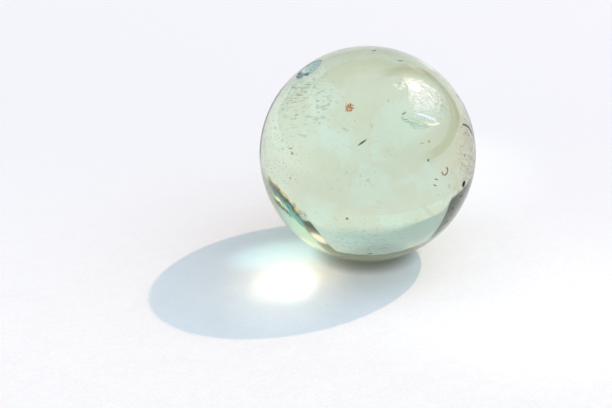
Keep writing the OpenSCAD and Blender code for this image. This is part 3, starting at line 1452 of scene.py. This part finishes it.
# %% Dim the crowded paper
crowded = new_node(tree, "ShaderNodeAmbientOcclusion", samples=16)
crowded.inputs["Distance"].default_value = 0.15 * BALL_R
open_paper = fade(tree, crowded.outputs["AO"], 0.0, 0.9, 0.25, 1.0)
from_contact = maths(tree, "SQRT", maths(
    tree, "ADD", product(tree, paper_x, paper_x), product(tree, paper_y, paper_y)))
open_paper = strongest(
    tree, open_paper, fade(tree, from_contact, 2.0 * MM, 1.0 * MM)
)
colour = blend_colours(tree, open_paper, (0.12, 0.11, 0.09), colour)
feed(tree, colour, shader.inputs["Base Color"])
shader.inputs["Roughness"].default_value = 1.0
shader.inputs["Specular IOR Level"].default_value = 0.0
relief(tree, shader, grain, 0.03 * MM)
paper.data.materials.append(sheet)
print("paper lies at z in mm:", round(paper.location.z / MM, 1))

# %% [markdown]
# ## Sun
#
# Sunlight comes from behind and to the right, about half-way up the sky, and
# throws the shadow forward to the left. A small bright disk at a distance
# stands in for it: its size sets how soft the shadow's edge is. Its power is
# worked out from the strength wanted on the level paper.

# %% Hang the sun
SUN_WAY = Vector((0.524, 0.428, 0.737)).normalized()
SUN_DISTANCE = 1.2
SUN_SPREAD = math.radians(0.5)
SUN_STRENGTH = 0.9

sun_data = bpy.data.lights.new("sun", "AREA")
sun_data.shape = "DISK"
sun_data.size = 2 * SUN_DISTANCE * math.tan(SUN_SPREAD)
sun_data.color = (1.0, 0.63, 0.43)
sun_data.energy = SUN_STRENGTH / SUN_WAY.z * math.pi * SUN_DISTANCE**2
sun = bpy.data.objects.new("sun", sun_data)
bpy.context.scene.collection.objects.link(sun)
sun.location = SUN_WAY * SUN_DISTANCE
sun.rotation_euler = (-SUN_WAY).to_track_quat("-Z", "Y").to_euler()
print("sun's power in watts:", round(sun_data.energy, 3))

# %% [markdown]
# ## The light that the marble gathers
#
# A clear ball is a lens, and it gathers the sun into a white pool inside
# its own shadow. A path tracer finds few of those paths and trims the
# brightest, so the pool comes out too weak. Soft spots add back what is
# trimmed: the pool, its tail, a faint halo round them and a cool glow
# nearer the ball. Two wide, faint ones even out the paper beside and behind
# the ball. All of them are hidden from mirrors and from clear glass, so that
# the ball doesn't show them as dots.

# %% Spots on the paper
SPOT_DISTANCE = 60
SPOTS = [
    ("pool", (-5.1, -5.7), -95, 33, 2.0, 0.115, (0.95, 1.0, 1.0)),
    ("tail", (-6.9, -6.1), -95, 33, 1.9, 0.055, (0.95, 1.0, 0.95)),
    ("halo", (-5.8, -6.4), -95, 35, 5.2, 0.026, (1.0, 1.0, 0.75)),
    ("glow", (-6.2, -1.0), -160, 32, 3.0, 0.075, (0.5, 1.0, 1.0)),
    ("foot", (9.0, -5.0), -60, 45, 16.0, 0.013, (0.85, 0.92, 1.0)),
    ("lit_paper", (6.5, 15.5), 90, 60, 10.0, 0.014, (0.93, 0.96, 0.9)),
]


def pool_of_light(name, place, come_from, height, half_width, power, colour):
    """Round light on the paper; its place and width are in millimetres."""
    spot_data = bpy.data.lights.new(name, "SPOT")
    spot_data.color = colour
    spot_data.energy = power
    spot_data.spot_size = 2 * math.atan(half_width / SPOT_DISTANCE)
    spot_data.spot_blend = 1.0
    spot_data.shadow_soft_size = 0.5 * MM
    spot = bpy.data.objects.new(name, spot_data)
    spot.visible_glossy = False
    spot.visible_transmission = False
    bpy.context.scene.collection.objects.link(spot)
    turn, rise = math.radians(come_from), math.radians(height)
    back = Vector((
        math.cos(turn) * math.cos(rise), math.sin(turn) * math.cos(rise),
        math.sin(rise),
    ))
    on_paper = Vector((*place, -BALL_MM)) * MM
    spot.location = on_paper + back * SPOT_DISTANCE * MM
    spot.rotation_euler = (-back).to_track_quat("-Z", "Y").to_euler()


for spot in SPOTS:
    pool_of_light(*spot)
print("spots:", len(SPOTS))

# %% [markdown]
# ## Sky
#
# Clear glass shows only what is round it, upside down and squeezed towards
# its rim, so the sky is shaped with care. A picture wrapped round the scene
# could serve, but a few plain shapes are easier to place. Each is a mask on two
# numbers in degrees: the bearing, which is nought straight ahead and grows
# to the right, and the height above the paper.

# %% Bearing, height and the open sky
DEGREES = 180 / math.pi

world = bpy.data.worlds.new("sky")
bpy.context.scene.world = world
world.use_nodes = True
tree = world.node_tree
sky_way = new_node(tree, "ShaderNodeTexCoord").outputs["Generated"]
way = new_node(tree, "ShaderNodeSeparateXYZ")
feed(tree, sky_way, way.inputs[0])
east, north, upward = way.outputs
bearing = product(tree, maths(tree, "ARCTAN2", east, north), DEGREES)
height = product(tree, maths(tree, "ARCSINE", upward), DEGREES)
ragged = noise(tree, sky_way, 14, 3.0, 0.6)
ragged_height = maths(tree, "ADD", height, product(tree, ragged, 8))

colour = blend_colours(
    tree, fade(tree, height, 0, 80), (0.58, 0.7, 0.78), (0.76, 0.8, 0.94)
)
left_dim = product(tree, fade(tree, bearing, 18, -15), fade(tree, height, 35, 20))
behind_viewer = product(tree, fade(tree, north, 0.1, -0.6), 0.25)
colour = tinted(tree, left_dim, colour, (0.75, 0.78, 0.8))
colour = blend_colours(tree, behind_viewer, colour, (0.2, 0.22, 0.23))
print("sky started:", world.name)

# %% [markdown]
# ## Bright and dim patches of sky
#
# Haze and thin cloud make the sky uneven, and the ball turns each patch into
# a soft blotch of light. A patch is round: it is full within its sharp angle
# and gone at its wide one. The last is the smallest and brightest, a window
# of sun-lit cloud.

# %% Patches of sky
def around(east_turn, up, wide, sharp):
    """A soft round patch of sky at a bearing and height."""
    turn, tilt = math.radians(east_turn), math.radians(up)
    spot = Vector((
        math.sin(turn) * math.cos(tilt), math.cos(turn) * math.cos(tilt),
        math.sin(tilt),
    ))
    node = new_node(tree, "ShaderNodeVectorMath", operation="DOT_PRODUCT")
    feed(tree, sky_way, node.inputs[0])
    node.inputs[1].default_value = spot
    return fade(
        tree, node.outputs["Value"], math.cos(math.radians(wide)),
        math.cos(math.radians(sharp)),
    )


colour = blend_colours(tree, around(92, 48, 40, 8), colour, (1.1, 1.4, 1.42))
colour = blend_colours(tree, around(38, 26, 13, 5), colour, (0.66, 0.88, 0.78))
colour = blend_colours(tree, around(41, 42, 11, 4), colour, (1.18, 1.2, 0.9))
low_ahead = product(tree, around(-7, 36, 18, 6), 0.75)
colour = tinted(tree, low_ahead, colour, (0.6, 0.6, 0.6))
colour = blend_colours(tree, around(51.7, 46.7, 7, 4), colour, (4.0, 4.4, 4.3))

# %% [markdown]
# ## Leaves ahead
#
# A dark mass of leaves hangs across the sky ahead and reaches lower on its
# right, where one gap lets warm light through. Its edge follows the ragged
# height, because leaves have no straight edge.

# %% Leaves across the sky
leaves_foot = fade(tree, bearing, 17, 25, 36, 12)
right_edge = maths(tree, "ADD", bearing, fade(tree, height, 16, 30, 0, 5))
leaves = product(
    tree, fade(tree, maths(tree, "SUBTRACT", ragged_height, leaves_foot), 3, 5),
    product(tree, fade(tree, right_edge, 36, 31), fade(tree, bearing, -75, -40)),
    fade(tree, height, 66, 58),
)
leaf_colour = blend_colours(
    tree, around(25, 24, 6, 2), (0.17, 0.16, 0.09), (1.15, 1.0, 0.9)
)
leaf_colour = blend_colours(
    tree, fade(tree, ragged_height, 22, 19), leaf_colour, (0.05, 0.05, 0.03)
)
colour = blend_colours(tree, leaves, colour, leaf_colour)

# %% [markdown]
# ## Where the ground ends
#
# The ground isn't level: it rises ahead, falls away to the right and has
# blades of grass along it there. Its height at each bearing is called the
# foot, and what stands on the ground is measured up from it.

# %% Foot of the view
blades = new_node(tree, "ShaderNodeCombineXYZ")
feed(tree, product(tree, bearing, 0.9), blades.inputs[0])
feed(tree, product(tree, height, 0.2), blades.inputs[1])
blade = maths(tree, "SUBTRACT", noise(tree, blades.outputs[0], 1.0, 3.0, 0.7), 0.5)
foot = maths(
    tree, "ADD", fade(tree, bearing, 5, 20, 8.2, 12.2),
    fade(tree, bearing, 19, 46, 0, -13),
)
foot = maths(tree, "ADD", foot, fade(tree, bearing, -38, -44, 0, -5))
foot = maths(tree, "ADD", foot, product(
    tree, blade, between(tree, bearing, 24, 32, 60, 80), 13.0))
over_foot = maths(tree, "SUBTRACT", height, foot)

# %% [markdown]
# ## The row of trees
#
# On the right stands a row of trees, with bare earth at its foot, dark
# trunks, blue shade and a pale gap. The ball draws it out into the coloured
# streaks at its lower left. A colour ramp says the colour of each strip from
# the foot upwards. The half nearer to straight ahead has one ramp and the
# half further to the right another, and they blend where they meet.

# %% Strips of the tree line
STRIPS_HEIGHT = 16
FAR_STRIPS = [
    (0.2, (0.85, 0.55, 0.2)), (1.3, (0.75, 0.45, 0.16)), (2.0, (0.1, 0.08, 0.04)),
    (4.2, (0.04, 0.07, 0.05)), (5.2, (0.05, 0.2, 0.3)), (8.0, (0.1, 0.3, 0.38)),
    (9.3, (1.1, 1.05, 0.6)), (10.6, (1.2, 1.15, 0.75)), (11.4, (0.03, 0.05, 0.03)),
    (14.2, (0.03, 0.06, 0.04)), (15.6, (0.5, 0.75, 0.7)),
]
NEAR_STRIPS = [
    (0.2, (0.85, 0.55, 0.2)), (1.5, (0.75, 0.45, 0.16)), (2.2, (0.1, 0.08, 0.04)),
    (4.0, (0.04, 0.1, 0.1)), (6.0, (0.1, 0.34, 0.42)), (9.0, (0.2, 0.45, 0.46)),
    (11.5, (0.2, 0.45, 0.45)), (13.0, (0.4, 0.7, 0.66)), (15.5, (0.8, 1.05, 1.0)),
]


def ramp_of(tree, value, stops):
    node = new_node(tree, "ShaderNodeValToRGB")
    ramp = node.color_ramp
    ramp.interpolation = "EASE"
    while len(ramp.elements) < len(stops):
        ramp.elements.new(1)
    for stop, (up, shade_of) in zip(ramp.elements, stops):
        stop.position = up / STRIPS_HEIGHT
        stop.color = (*shade_of, 1)
    feed(tree, value, node.inputs[0])
    return node.outputs["Color"]


above = maths(
    tree, "SUBTRACT", maths(tree, "SUBTRACT", ragged_height, 4), foot
)
share = maths(tree, "DIVIDE", above, STRIPS_HEIGHT)
strips = blend_colours(
    tree, fade(tree, bearing, 38, 43), ramp_of(tree, share, NEAR_STRIPS),
    ramp_of(tree, share, FAR_STRIPS),
)
tree_line = product(
    tree, between(tree, bearing, 29, 33, 56, 60),
    product(tree, fade(tree, above, 17, 14.5), fade(tree, over_foot, -0.3, 0.3)),
)
colour = blend_colours(tree, tree_line, colour, strips)
print("strips:", len(NEAR_STRIPS), "near and", len(FAR_STRIPS), "far")

# %% [markdown]
# ## Wall, far right and ground
#
# A dull stretch lies beyond the trees on the right and a nearly black wall
# stands on the left. They draw the dark bands near the ball's lower edge.
# The ground in front of it all is a pale bank, misty straight ahead. It comes
# last, because it hides the foot of what stands on it.

# %% Wall, far right and bank
far_right = product(
    tree, between(tree, bearing, 53, 58, 105, 118),
    between(tree, height, 2.5, 4.5, 18, 26),
)
wall = product(
    tree, between(tree, bearing, -115, -105, -43, -41),
    between(tree, ragged_height, 6.5, 8.5, 35, 42),
)
wall_colour = blend_colours(
    tree, fade(tree, ragged_height, 12, 18), (0.01, 0.01, 0.01), (0.025, 0.025, 0.02)
)
misty = product(tree, between(tree, bearing, -26, -8, 14, 20), 4.5)
bank = product(
    tree,
    fade(tree, over_foot,
         maths(tree, "ADD", fade(tree, bearing, 20, 30, 1.2, 0.3), misty),
         maths(tree, "SUBTRACT", fade(tree, bearing, 20, 30, -1.2, -0.3),
               product(tree, misty, 0.5))),
    fade(tree, maths(tree, "ABSOLUTE", bearing), 74, 68),
)
colour = blend_colours(tree, far_right, colour, (0.3, 0.32, 0.25))
colour = blend_colours(tree, wall, colour, wall_colour)
colour = blend_colours(tree, bank, colour, (0.8, 0.83, 0.86))
print("nodes in the sky:", len(tree.nodes))

# %% [markdown]
# ## Light the scene
#
# The finished sky both lights the object and is what it mirrors. Its
# strength is set so that the paper renders about as bright as it is written.
# The Standard view shows colours as they are, where a filmic one would dull
# the white paper.

# %% Switch on the sky
light = tree.nodes["Background"]
feed(tree, colour, light.inputs["Color"])
light.inputs["Strength"].default_value = 1.19
bpy.context.scene.view_settings.view_transform = "Standard"
print("sky strength:", round(light.inputs["Strength"].default_value, 2))
